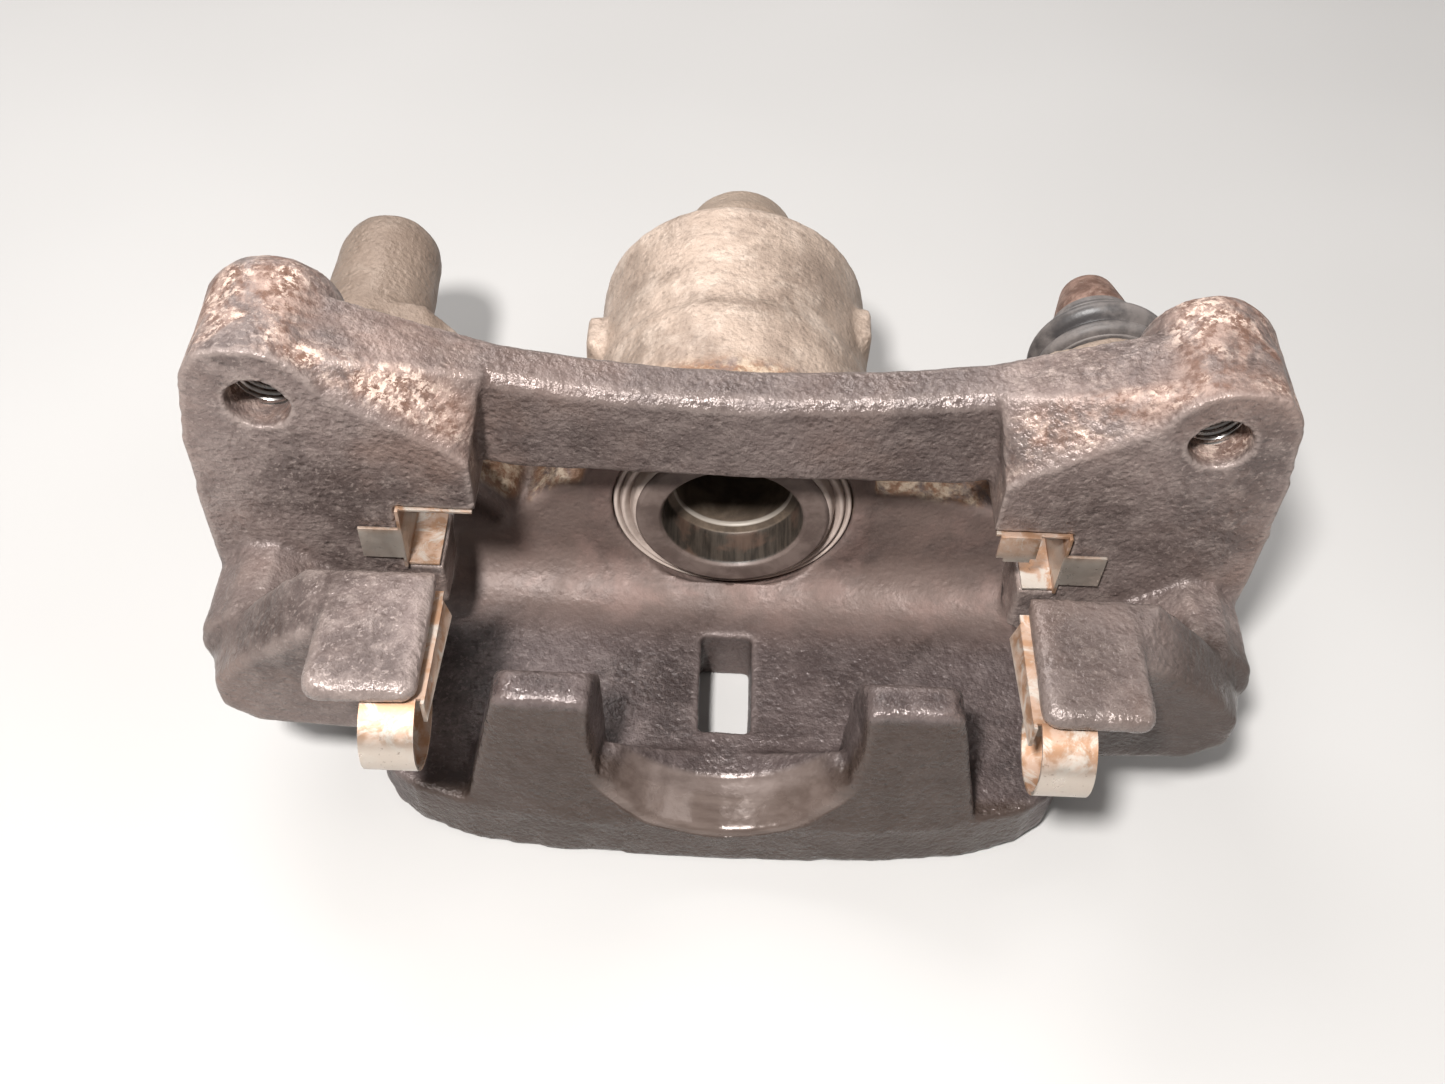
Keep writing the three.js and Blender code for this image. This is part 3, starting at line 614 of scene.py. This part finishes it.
# ---- castings ----
VOXEL = 0.00075
CAST_LAYERS = ((0.00024, 0.013), (0.00013, 0.0046), (0.00007, 0.0018))      # height and size of the lumps


def cast_layers(seed):
    """The layers of a cast surface, with seeds that count up from the given one."""
    return [(height, size, seed + k) for k, (height, size) in enumerate(CAST_LAYERS)]


def threads(name, x, z, root, crest, back_wall, y0, y1, pitch=0.00125, steps=48):
    """A threaded sleeve along y: a helical ridge between root and crest, with a plain wall behind it."""
    rows = round((y1 - y0) / pitch * 6)
    verts, faces = [], []
    for i in range(steps):
        turn = i / steps
        direction = (math.cos(2 * math.pi * turn), math.sin(2 * math.pi * turn))
        outline = [(back_wall, y0)]
        for k in range(rows + 1):
            y = y0 + (y1 - y0) * k / rows
            ridge = abs(2 * ((y / pitch - turn) % 1.0) - 1)
            fade = min(1.0, 6 * min(k, rows - k) / rows)
            outline.append((root + (crest - root) * ridge * fade, y))
        outline.append((back_wall, y1))
        verts += [(x + r * direction[0], y, z + r * direction[1]) for r, y in outline]
    count = rows + 3
    for i in range(steps):
        j = (i + 1) % steps
        for k in range(count):
            m = (k + 1) % count
            faces.append((i * count + k, i * count + m, j * count + m, j * count + k))
    obj = new_object(name, verts, faces)
    weld(obj, 1e-8)
    return obj


def make_bracket():
    obj = copy_of_node("bracket", "bracket_casting")
    modify(obj, "REMESH", mode="VOXEL", voxel_size=VOXEL, use_smooth_shade=True)

    def machined(points):
        """The pad notches and the ear holes keep their edges."""
        side, height = np.abs(points[:, 0]), points[:, 2]
        notch = (np.abs(side - NOTCH_X) < 0.010) & (np.abs(height - NOTCH_Z) < 0.0105)
        hole = np.hypot(side - EAR_X, height - EAR_Z) < EAR_HOLE_R + 0.0012
        return notch | hole

    def arms_and_beam(points):
        """The lips, arms and beam are rounder than the plates."""
        arm = np.clip((PLATE_FRONT + 0.002 - points[:, 1]) / 0.003, 0, 1) * (points[:, 2] < 0.0625)
        beam = np.clip((0.043 - np.abs(points[:, 0])) / 0.006, 0, 1)
        return np.where(machined(points), 0.1, np.maximum(arm, 0.4 * beam))

    relax(obj, 12, lambda points: np.where(machined(points), 0.25, 1.0))
    relax(obj, 120, arms_and_beam)
    roughen(obj, cast_layers(1))
    dress(obj, "bracket_iron", "thread_steel")
    for side in (-1, 1):
        ring = threads(
            "thread", side * EAR_X, EAR_Z, EAR_HOLE_R + 0.0002, EAR_HOLE_R - 0.0006, EAR_HOLE_R + 0.0012,
            PLATE_FRONT + 0.0045, EAR_BACK - 0.001)
        dress(ring, "bracket_iron", "thread_steel")
        ring.data.polygons.foreach_set("material_index", [1] * len(ring.data.polygons))
        join_meshes(obj, ring)
    place(obj, "bracket", "bracket")


def make_caliper_body():
    obj = copy_of_node("caliper_body", "caliper_casting")
    modify(obj, "REMESH", mode="VOXEL", voxel_size=VOXEL, use_smooth_shade=True)

    def soft_places(points):
        """The piston's bore and the pins' holes keep their edges."""
        from_axis = np.hypot(points[:, 0], points[:, 2] - AXIS_Z)
        bored = (from_axis < 0.0245) & (points[:, 1] > RIM_Y - 0.004) & (points[:, 1] < RIM_Y + 0.059)
        pinned = np.hypot(np.abs(points[:, 0]) - PIN_X, points[:, 2] - PIN_Z) < 0.0092
        return np.where(bored | pinned, 0.15, 1.0)

    def rough_places(points):
        """The scoop and the bores are machined and the leg is worn, so they are less rough than the rest."""
        scooped = (points[:, 1] < RIM_Y - 0.040) & (np.hypot(points[:, 0], points[:, 2] - AXIS_Z) < 0.0275)
        leg = np.clip((points[:, 1] - RIM_Y + 0.016) / 0.008, 0, 1) * (points[:, 1] < RIM_Y + 0.006)
        return np.where(scooped, 0.15, (0.25 + 0.75 * soft_places(points)) * (1 - 0.55 * leg))

    def sweep(points):
        """The hollow between bridge and leg, round the piston's way out."""
        depth = np.clip(1 - np.abs(points[:, 1] - RIM_Y + 0.003) / 0.009, 0, 1)
        hollow = np.minimum(2.0 * depth, 1.0) * (np.abs(points[:, 0]) < 0.060)
        return np.where(soft_places(points) < 1, 0.15, hollow)

    def finger_feet(points):
        """Where the fingers' insides run out into the bridge."""
        side = np.abs(points[:, 0])
        near = (side > 0.012) & (side < 0.032) & (points[:, 1] < RIM_Y - 0.030) & (points[:, 2] > 0.0125)
        return near * np.clip((0.034 - points[:, 2]) / 0.008, 0, 1)

    relax(obj, 30, soft_places)
    relax(obj, 40, sweep)
    relax(obj, 70, finger_feet)
    roughen(obj, cast_layers(4), rough_places)
    dress(obj, "body_iron")
    place(obj, "caliper", "caliper_body")


# ---- turned pieces ----
def smooth_line(points, steps=7):
    """A smooth curve through 2-D points."""
    padded = [points[0], *points, points[-1]]
    result = []
    for before, start, end, after in zip(padded, padded[1:], padded[2:], padded[3:]):
        before, start, end, after = (np.array(p, float) for p in (before, start, end, after))
        for k in range(steps):
            t = k / steps
            result.append(0.5 * (2 * start + (end - before) * t
                                 + (2 * before - 5 * start + 4 * end - after) * t ** 2
                                 + (3 * start - before - 3 * end + after) * t ** 3))
    result.append(np.array(points[-1], float))
    return result


def skin(line, thickness):
    """A closed outline round a line, of the given thickness, with round ends."""
    line = np.array(line)
    along = np.gradient(line, axis=0)
    along /= np.linalg.norm(along, axis=1)[:, None]
    across = np.stack([-along[:, 1], along[:, 0]], axis=1) * thickness / 2
    ends = [line[-1] + along[-1] * thickness * 0.4, line[0] - along[0] * thickness * 0.4]
    return [*(line + across), ends[0], *(line - across)[::-1], ends[1]]


def make_bellows(name, node, line, thickness, x, z, lips=(), look="rubber"):
    """A folded rubber sleeve round an axis along y, between two bodies but made in one fixed shape and fixed
    to neither.
    line: the middle of its wall, (radius, y) in millimetres; lips: outlines of its thick ends."""
    outline = mm([tuple(p) for p in skin(smooth_line(line), thickness)])
    obj = turned(name, outline, x, z, 120, closed=True)
    for lip in lips:
        ring = turned(name + "_lip", mm(rounded(lip, 0.45, 4, closed=True)), x, z, 120, closed=True)
        join_meshes(obj, ring)
    dress(obj, look)
    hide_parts(node)
    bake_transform(obj)


def make_boots():
    make_bellows(
        "piston_dust_boot", "dust_boot",
        [(18.3, 2.2), (18.9, 1.5), (19.45, 1.9), (19.7, 3.2), (20.3, 4.4), (21.0, 3.4), (21.6, 3.0),
         (22.0, 4.2), (22.3, 5.2), (22.8, 4.0), (23.2, 3.7), (23.45, 5.4), (23.3, 7.2)],
        0.62, 0, AXIS_Z,
        lips=([(20.6, 6.5), (23.6, 6.5), (23.6, 7.8), (20.6, 7.8)],), look="dusty_rubber")
    make_bellows(
        "guide_pin_bellows", "guide_pin_boot",
        [(6.6, 14.4), (7.9, 14.2), (9.0, 15.0), (8.9, 16.1), (7.8, 16.9), (8.2, 17.8), (9.8, 18.5),
         (9.8, 19.4), (8.6, 20.1), (9.0, 20.9), (10.2, 21.5), (10.3, 22.6)],
        0.85, -PIN_X, PIN_Z,
        lips=([(9.1, 21.6), (10.8, 21.6), (10.9, 25.6), (9.1, 25.6)],
              [(6.0, 13.9), (8.2, 13.9), (8.0, 15.1), (6.0, 15.1)]))
    make_bellows(
        "sleeve_bellows_outboard", "sleeve_boot_outboard",
        [(7.4, 10.3), (8.9, 10.1), (9.4, 11.0), (8.3, 12.3), (8.6, 13.2), (10.6, 14.0), (10.6, 14.9),
         (9.2, 15.8), (9.9, 16.5), (11.9, 17.3), (11.9, 18.2)],
        0.9, PIN_X, PIN_Z,
        lips=([(8.9, 17.8), (12.5, 17.6), (12.6, 19.6), (8.9, 19.6)],
              [(6.6, 9.7), (8.8, 9.7), (8.6, 11.2), (6.6, 11.2)]))
    make_bellows(
        "sleeve_bellows_inboard", "sleeve_boot_inboard",
        [(11.6, 35.6), (13.4, 36.1), (13.8, 37.2), (12.5, 38.6), (12.2, 39.8), (13.8, 40.9), (14.4, 42.1),
         (13.3, 43.5), (11.3, 44.4), (10.9, 45.4), (11.3, 46.3), (10.4, 47.5), (8.9, 48.3)],
        1.1, PIN_X, PIN_Z,
        lips=([(8.9, 35.0), (12.6, 35.0), (13.0, 36.6), (8.9, 36.8)],
              [(6.6, 48.2), (9.6, 48.2), (9.5, 50.7), (6.6, 50.9)]))


def make_turned(name, node, body, material, profile, x, z, corner=0.4, steps=128, closed=False):
    """A whole turned piece: (radius, y) profile in millimetres, its corners rounded, on one body."""
    obj = turned(name, mm(rounded(profile, corner, 4, closed)), x, z, steps, closed)
    dress(obj, material)
    sharp_edges(obj, 38)
    place(obj, body, node)


def make_piston():
    end = (PISTON_HIGH[1] - PISTON_LOW[1]) / MM
    outer = PISTON_R / MM
    make_turned("piston_cup", "piston", "piston", "piston_steel", [
        (0, 38), (11.7, 38), (11.7, 9.3), (12.0, 8.9), (13.55, 8.4), (13.75, 7.6), (13.75, 0.9), (14.4, 0),
        (outer - 0.6, 0), (outer, 0.7), (outer, 1.5), (outer - 1.2, 1.6), (outer - 1.2, 3.7), (outer, 3.8),
        (outer, end - 1.5), (outer - 1.5, end), (0, end),
    ], 0, AXIS_Z, corner=0.3, steps=160)


def make_seals():
    inner = PISTON_R / MM + 0.3
    make_turned("square_cut_seal", "piston_seal", "caliper", "rubber", [
        (inner, 11.4), (22.2, 11.4), (22.2, 14.8), (inner, 14.8),
    ], 0, AXIS_Z, corner=0.3, closed=True)
    make_turned("sleeve_bush", "lock_sleeve_bush", "caliper", "rubber", [
        (6.6, 20.8), (8.2, 20.8), (8.2, 33.7), (6.6, 33.7),
    ], PIN_X, PIN_Z, corner=0.4, steps=72, closed=True)
    make_turned("pin_bush", "guide_pin_bush", "bracket", "rubber", [
        (4.75, 44.9), (5.4, 44.9), (6.0, 46), (5.5, 47.5), (6.0, 49), (5.5, 50.5), (6.0, 52), (5.4, 53.1),
        (4.75, 53.1),
    ], -PIN_X, PIN_Z, corner=0.9, steps=72, closed=True)
    wire_r, wire_turns = 0.42, [k * math.pi / 8 for k in range(16)]
    wire = [(21.3 + wire_r * math.cos(turn), 5.7 + wire_r * math.sin(turn)) for turn in wire_turns]
    make_turned("boot_ring", "dust_boot_ring", "caliper", "pin_steel", wire, 0, AXIS_Z,
                corner=0.05, closed=True)


def make_lock_sleeve():
    make_turned("lock_sleeve_tube", "lock_sleeve", "lock_sleeve", "rusty_steel", [
        (4.2, 8.4), (5.7, 8.4), (6.3, 9.0), (6.3, 51.1), (8.15, 51.3), (8.2, 52.4), (7.9, 54.4), (5.95, 60.9),
        (5.5, 61.8), (4.9, 62), (4.2, 61.4),
    ], PIN_X, PIN_Z, corner=0.7, steps=96, closed=True)


def hexagon(name, across_flats, y0, y1, x, z, chamfer):
    """A hexagonal head along y with its corners turned off at both ends."""
    steps = 72
    side = math.radians(60)
    verts, rings = [], []
    for y, round_end in ((y0, True), (y0 + chamfer, False), (y1 - chamfer, False), (y1, True)):
        ring = []
        for i in range(steps):
            angle = 2 * math.pi * i / steps
            from_middle = angle % side - side / 2
            reach = across_flats / 2 if round_end else across_flats / 2 / math.cos(from_middle)
            verts.append((x + reach * math.cos(angle), y, z + reach * math.sin(angle)))
            ring.append(len(verts) - 1)
        rings.append(ring)
    faces = [rings[0][::-1], rings[-1]]
    for low, high in zip(rings, rings[1:]):
        for i in range(steps):
            j = (i + 1) % steps
            faces.append((low[i], low[j], high[j], high[i]))
    obj = new_object(name, verts, faces)
    weld(obj, 1e-8)
    sharp_edges(obj, 28)
    return obj


def make_guide_pin():
    pin = turned("guide_pin_bolt", mm(rounded([
        (0, -10.4), (3.6, -10.4), (4.3, -9.6), (4.3, 8.6), (4.8, 9.4), (5.6, 13.1), (5.6, 44), (4.45, 44.7),
        (4.45, 53.3), (5.6, 54), (5.6, 56.5), (4.6, 57.5), (0, 57.5),
    ], 0.3)), -PIN_X, PIN_Z, 96)
    head = hexagon("pin_head", 0.015, from_rim(9.75), from_rim(13.15), -PIN_X, PIN_Z, 0.0005)
    helix = threads("pin_thread", -PIN_X, PIN_Z, 0.0043, 0.0048, 0.0030, from_rim(-9.4), from_rim(8))
    join_meshes(pin, head, helix)
    dress(pin, "pin_steel")
    sharp_edges(pin, 35)
    place(pin, "bracket", "guide_pin")
    make_turned("spring_washer", "guide_pin_washer", "bracket", "pin_steel", [
        (5.15, 8.35), (8.5, 8.35), (8.5, 9.35), (5.15, 9.35),
    ], -PIN_X, PIN_Z, corner=0.25, steps=96, closed=True)


def make_bleeder():
    low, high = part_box("bleeder_screw")
    x, z = (low[0] + high[0]) / 2, (low[2] + high[2]) / 2
    screw = turned("bleeder_nipple", mm(rounded([
        (0, 64), (0.9, 64), (0.9, 84.9), (2.5, 84.9), (3, 84), (3, 82.6), (2.3, 81.8), (2.3, 79.6), (3, 78.8),
        (3, 71.6), (3.2, 71.3), (3.2, 61), (0.8, 58.5), (0, 58.5),
    ], 0.3)), x, z, 72)
    head = hexagon("bleeder_hex", 0.008, from_rim(71.3), from_rim(76.2), x, z, 0.0004)
    helix = threads(
        "bleeder_thread", x, z, 0.0031, 0.0036, 0.0020, from_rim(61.2), from_rim(71), 0.001, 36)
    join_meshes(screw, head, helix)
    dress(screw, "pin_steel")
    sharp_edges(screw, 35)
    place(screw, "bleeder", "bleeder_screw")
    cap = turned("bleeder_dust_cap", mm(rounded([
        (0, 85.5), (3.35, 85.5), (3.35, 76.9), (4.35, 76.9), (4.6, 77.7), (4.15, 79), (4.15, 85.2),
        (3.3, 86.9), (1.5, 87.45), (0, 87.5),
    ], 0.6)), x, z, 72)
    dress(cap, "rubber")
    sharp_edges(cap, 60)
    place(cap, "bleeder", "bleeder_cap")


# ---- spring clips ----
def round_loop(obj):
    """Gives the rolled loop of an outboard clip finer facets on its true radii."""
    on_arc, mid_facet = 0.00004, 0.0003

    def polar(vert):
        y, z = vert.co.y - LOOP_Y, vert.co.z - LOOP_Z
        return math.hypot(y, z), math.atan2(z, y)

    def loop_radius(vert, slack):
        """The loop radius that a point lies on within some slack, or None."""
        near = min(LOOP_RADII, key=lambda r: abs(polar(vert)[0] - r))
        return near if abs(polar(vert)[0] - near) < slack else None

    bm = bmesh.new()
    bm.from_mesh(obj.data)
    for _ in range(2):
        arcs = []
        for edge in bm.edges:
            a, b = edge.verts
            turn = abs(math.remainder(polar(a)[1] - polar(b)[1], math.tau))
            radius = loop_radius(a, on_arc)
            if radius is not None and radius == loop_radius(b, on_arc) and 0.05 < turn < 0.45:
                arcs.append(edge)
        split = bmesh.ops.subdivide_edges(bm, edges=arcs, cuts=1)
        for vert in (item for item in split["geom_inner"] if isinstance(item, bmesh.types.BMVert)):
            radius, angle = loop_radius(vert, mid_facet), polar(vert)[1]
            if radius is not None:
                vert.co.y = LOOP_Y + radius * math.cos(angle)
                vert.co.z = LOOP_Z + radius * math.sin(angle)
    bmesh.ops.triangulate(bm, faces=[face for face in bm.faces if len(face.verts) > 4])
    bm.to_mesh(obj.data)
    bm.free()


def make_clip(node):
    """The clip's strips with softened edges."""
    obj = copy_of_node(node, "pad_" + node)
    if "outboard" in node:
        round_loop(obj)
    modify(obj, "BEVEL", width=0.00014, segments=2, limit_method="ANGLE", angle_limit=math.radians(40))
    shade_smooth(obj.data)
    sharp_edges(obj, 50)
    dress(obj, "clip_steel")
    place(obj, "bracket", node)


make_bracket()
make_caliper_body()
make_boots()
make_piston()
make_seals()
make_lock_sleeve()
make_guide_pin()
make_bleeder()
for clip in ("clip_inboard_left", "clip_inboard_right", "clip_outboard_left", "clip_outboard_right"):
    make_clip(clip)


# ---- floor, camera, light ----
def make_floor():
    half = 1.2
    corners = [(-half, -half, 0), (half, -half, 0), (half, half, 0), (-half, half, 0)]
    floor = new_object("floor", corners, [(0, 1, 2, 3)])
    floor.location.z = -0.0003          # the castings' roughness reaches just below the CAD's underside
    n = Nodes("floor_paint")
    tone = n.fit(n.noise(0.35, 3.0), 0.3, 0.7)
    floor.data.materials.append(n.finish(n.mix(tone, (0.415, 0.405, 0.395), (0.460, 0.450, 0.440)), 0.75))


def make_camera():
    """The photo's viewpoint relative to the object, which stands level here: hence the small roll."""
    data = bpy.data.cameras.new("camera")
    data.sensor_width = 36.0
    data.lens = 36.58
    camera = bpy.data.objects.new("camera", data)
    bpy.context.scene.collection.objects.link(camera)
    place_from_rim = Vector((-0.0052, -0.1857, 0.2580))
    forward = Vector((0.0120, 0.6324, -0.7746)).normalized()
    right = Vector((0.9991, 0.0246, 0.0356)).normalized()
    up = right.cross(forward)
    right = forward.cross(up)
    turn = Matrix((right, up, -forward)).transposed()
    camera.matrix_world = Matrix.Translation(place_from_rim + Vector((0, RIM_Y, 0))) @ turn.to_4x4()
    bpy.context.scene.camera = camera


def area_light(name, spot, target, size, power, color):
    data = bpy.data.lights.new(name, "AREA")
    data.shape = "DISK"
    data.size = size
    data.energy = power
    data.color = color
    light = bpy.data.objects.new(name, data)
    bpy.context.scene.collection.objects.link(light)
    light.location = spot
    light.rotation_euler = (Vector(target) - Vector(spot)).to_track_quat("-Z", "Y").to_euler()


def make_light():
    world = bpy.data.worlds.new("studio")
    world.use_nodes = True
    background = world.node_tree.nodes["Background"]
    background.inputs["Color"].default_value = (1.0, 0.97, 0.94, 1.0)
    background.inputs["Strength"].default_value = 0.21
    bpy.context.scene.world = world
    middle = (0, -0.02, 0.03)
    area_light("key", (-0.11, -0.28, 0.50), middle, 0.06, 5.8, (1.0, 0.985, 0.97))
    area_light("fill", (0.55, 0.10, 0.55), middle, 0.60, 1.6, (1.0, 0.99, 0.99))
    area_light("back", (-0.25, 0.48, 0.62), middle, 0.50, 4.2, (1.0, 0.99, 0.99))


make_floor()
make_camera()
make_light()
bpy.context.scene.view_settings.view_transform = "Standard"
